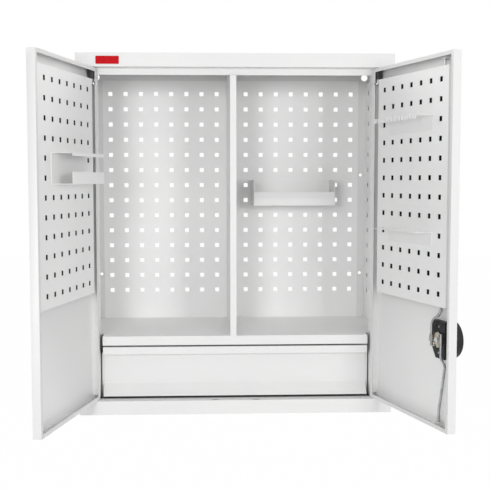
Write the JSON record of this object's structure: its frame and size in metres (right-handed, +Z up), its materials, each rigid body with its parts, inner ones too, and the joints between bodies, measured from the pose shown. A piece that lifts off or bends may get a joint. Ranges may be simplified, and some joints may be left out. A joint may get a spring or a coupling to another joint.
{
  "type": "wall cabinet",
  "caption": "Wall-hung sheet-steel tool cabinet with two perforated doors, shelf, divider, hung tray, door holders, lower drawer and a knob lock that drives rods into the rails.",
  "frame": {"origin": "middle of the four wall fixing holes, on the wall plane behind the rear flanges", "axes": "+X to the right seen from the front, +Y into the wall, +Z up"},
  "size_m": [0.8308, 0.5968, 0.8],
  "materials": {
    "grey_paint": "satin powder coat",
    "bright_steel": "zinc plated",
    "yellow_zinc": "yellow zinc",
    "black_plastic": "moulded, matt",
    "pale_plastic": "moulded, natural"
  },
  "bodies": {
    "carcass": {"left_side_panel": "grey_paint", "right_side_panel": "grey_paint", "left_side_liner": "grey_paint", "right_side_liner": "grey_paint", "left_jamb": "grey_paint", "right_jamb": "grey_paint", "left_drawer_wall": "grey_paint", "right_drawer_wall": "grey_paint", "top_panel": "grey_paint", "bottom_panel": "grey_paint", "back_panel": "grey_paint", "shelf": "grey_paint", "centre_divider": "grey_paint", "tool_tray": "grey_paint", "left_slide_rail": "bright_steel", "right_slide_rail": "bright_steel", "upper_hinge_pins": "bright_steel", "lower_hinge_pins": "bright_steel", "left_hinge_strap": "bright_steel", "right_hinge_strap": "bright_steel"},
    "left_door": {"left_door_skin": "grey_paint", "left_door_panel": "grey_paint", "cradle_holder": "grey_paint", "left_hinge_block": "black_plastic", "left_lower_bush": "pale_plastic"},
    "right_door": {"right_door_skin": "grey_paint", "right_door_panel": "grey_paint", "comb_holder": "grey_paint", "bored_holder": "grey_paint", "right_hinge_block": "black_plastic", "lock_case": "black_plastic", "right_lower_bush": "pale_plastic", "upper_rod_guide": "pale_plastic", "lower_rod_guide": "pale_plastic", "lock_case_screws": "bright_steel"},
    "lock_knob": {"turn_knob": "black_plastic", "lock_spindle": "bright_steel", "cam_nut": "bright_steel", "lock_cam": "yellow_zinc"},
    "key_barrel": {"lock_barrel": "bright_steel"},
    "upper_rod": {"upper_lock_rod": "bright_steel"},
    "lower_rod": {"lower_lock_rod": "bright_steel"},
    "drawer": {"drawer_front": "grey_paint", "drawer_box": "grey_paint", "left_slide_runner": "bright_steel", "right_slide_runner": "bright_steel"},
    "left_slide": {"left_slide_middle": "bright_steel"},
    "right_slide": {"right_slide_middle": "bright_steel"}
  },
  "joints": [
    {"name": "left_door_hinge", "type": "hinge", "parent": "carcass", "child": "left_door", "pos_m": [-0.3148, -0.29, 0], "axis": [0, 0, -1], "range_deg": [-103.8, 6.2]},
    {"name": "right_door_hinge", "type": "hinge", "parent": "carcass", "child": "right_door", "pos_m": [0.3148, -0.29, 0], "axis": [0, 0, 1], "range_deg": [-106.5, 3.5]},
    {"name": "drawer_slide", "type": "slide", "parent": "carcass", "child": "drawer", "axis": [0, -1, 0], "range_m": [0, 0.22]},
    {"name": "left_middle_slide", "type": "slide", "parent": "carcass", "child": "left_slide", "axis": [0, -1, 0], "range_m": [0, 0.11]},
    {"name": "right_middle_slide", "type": "slide", "parent": "carcass", "child": "right_slide", "axis": [0, -1, 0], "range_m": [0, 0.11]},
    {"name": "knob_turn", "type": "hinge", "parent": "right_door", "child": "lock_knob", "pos_m": [0.39148, -0.54888, -0.2006], "axis": [0.9588, 0.284, 0], "range_deg": [0, 90]},
    {"name": "barrel_turn", "type": "hinge", "parent": "lock_knob", "child": "key_barrel", "pos_m": [0.39148, -0.54888, -0.2006], "axis": [0.9588, 0.284, 0], "range_deg": [0, 90]},
    {"name": "upper_rod_slide", "type": "slide", "parent": "right_door", "child": "upper_rod", "axis": [0, 0, 1], "range_m": [0, 0.01599]},
    {"name": "lower_rod_slide", "type": "slide", "parent": "right_door", "child": "lower_rod", "axis": [0, 0, -1], "range_m": [0, 0.01599]}
  ],
  "couplings": [
    {"joint": "left_middle_slide", "follows": "drawer_slide", "ratio": 0.5},
    {"joint": "right_middle_slide", "follows": "drawer_slide", "ratio": 0.5},
    {"joint": "upper_rod_slide", "follows": "knob_turn", "m_per_rad": 0.010174},
    {"joint": "lower_rod_slide", "follows": "knob_turn", "m_per_rad": 0.010174}
  ]
}
